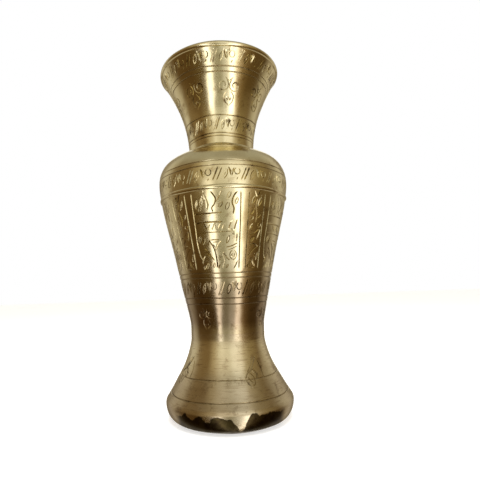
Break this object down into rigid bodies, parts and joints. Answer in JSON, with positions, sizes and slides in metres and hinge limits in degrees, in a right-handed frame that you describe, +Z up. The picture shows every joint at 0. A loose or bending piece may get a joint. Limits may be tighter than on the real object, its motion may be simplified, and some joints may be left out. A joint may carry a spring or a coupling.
{
  "type": "flower vase",
  "caption": "Tall engraved brass baluster vase with a flared mouth, rounded shoulder, narrow waist and hollow bell foot; holds cut stems in water.",
  "frame": {"origin": "on the table, under the middle of the foot", "axes": "+Z up along the vase's own axis, which is its axis of symmetry; -Y towards the side first looked at; +X to that side's right"},
  "size_m": [0.0762, 0.0762, 0.2032],
  "materials": {
    "brass": "turned, engraved and hand-polished, with brown tarnish in the cuts",
    "spelter": "brazing spelter, filed and buffed"
  },
  "bodies": {
    "root": {"foot_rim": "brass", "foot_bell": "brass", "foot_braze": "spelter", "waist_sleeve": "brass", "waist_braze": "spelter", "floor_disc": "brass", "floor_solder": "spelter", "body_shell": "brass", "belly_band": "brass", "shoulder_dome": "brass", "neck_braze": "spelter", "mouth_trumpet": "brass", "lip_ring": "brass"}
  },
  "joints": []
}
